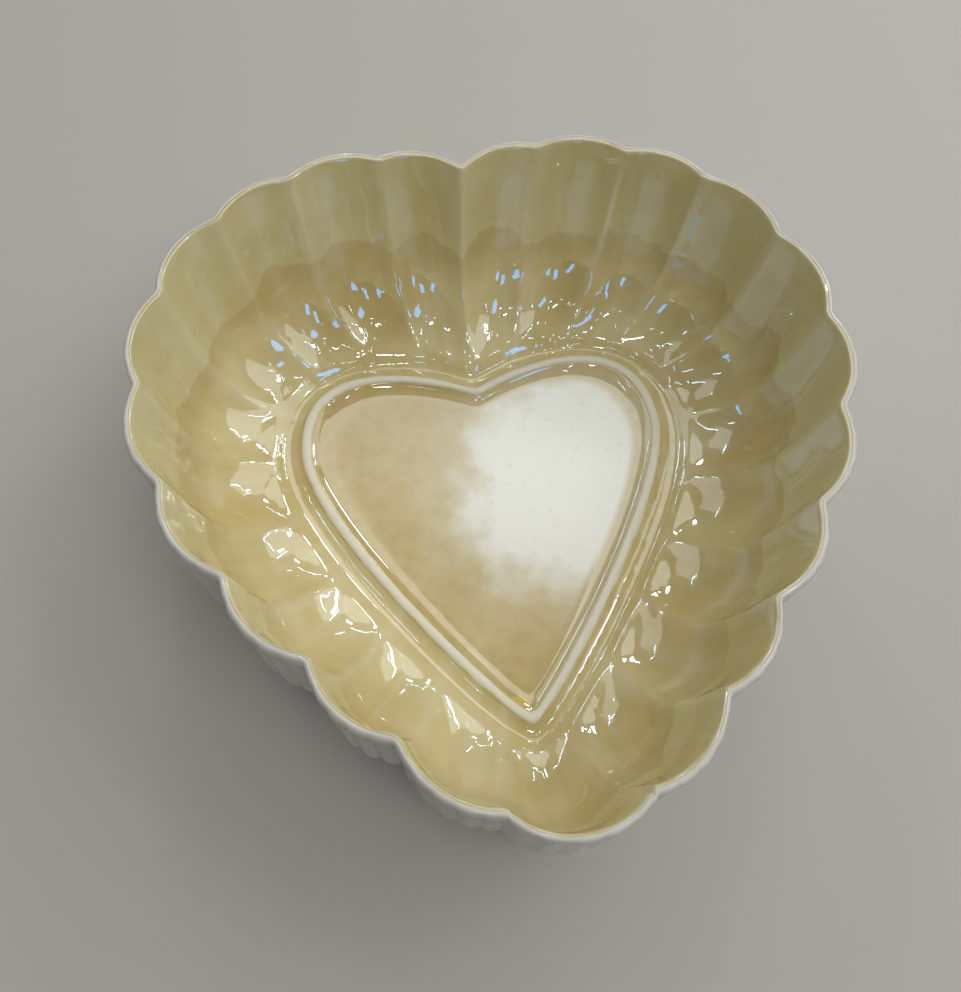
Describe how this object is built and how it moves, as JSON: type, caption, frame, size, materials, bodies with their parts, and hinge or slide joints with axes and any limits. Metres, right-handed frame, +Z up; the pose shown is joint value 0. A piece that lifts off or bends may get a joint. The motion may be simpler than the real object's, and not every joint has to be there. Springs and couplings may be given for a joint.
{
  "type": "heart-shaped fluted trinket dish",
  "caption": "Open heart-shaped porcelain trinket dish with a scalloped fluted wall, pearly lustre lining, a raised bare heart line round a shallow well, and a heart-shaped foot.",
  "frame": {"origin": "on the surface the dish stands on, under the middle of the rim's outline", "axes": "+Z up out of the bowl, +Y towards the cleft of the heart with the tip towards -Y, +X to the right seen from above"},
  "size_m": [0.1548, 0.1616, 0.054],
  "materials": {
    "porcelain": "fired white porcelain under the coats",
    "pearl_lustre": "glossy straw-coloured mother-of-pearl lustre",
    "well_lustre": "glossy straw-coloured lustre, thin and whitish at one side of the well",
    "clear_glaze": "glossy clear glaze over white porcelain",
    "bare_line": "bare matt white porcelain",
    "bare_foot": "bare matt porcelain, lightly rubbed",
    "base_glaze": "glossy clear glaze"
  },
  "bodies": {
    "root": {"porcelain_body": "porcelain", "lustre_lining": "pearl_lustre", "well_lining": "well_lustre", "clear_outer_coat": "clear_glaze", "raised_heart_line": "bare_line", "foot_ring": "bare_foot", "base_coat": "base_glaze"}
  },
  "joints": []
}
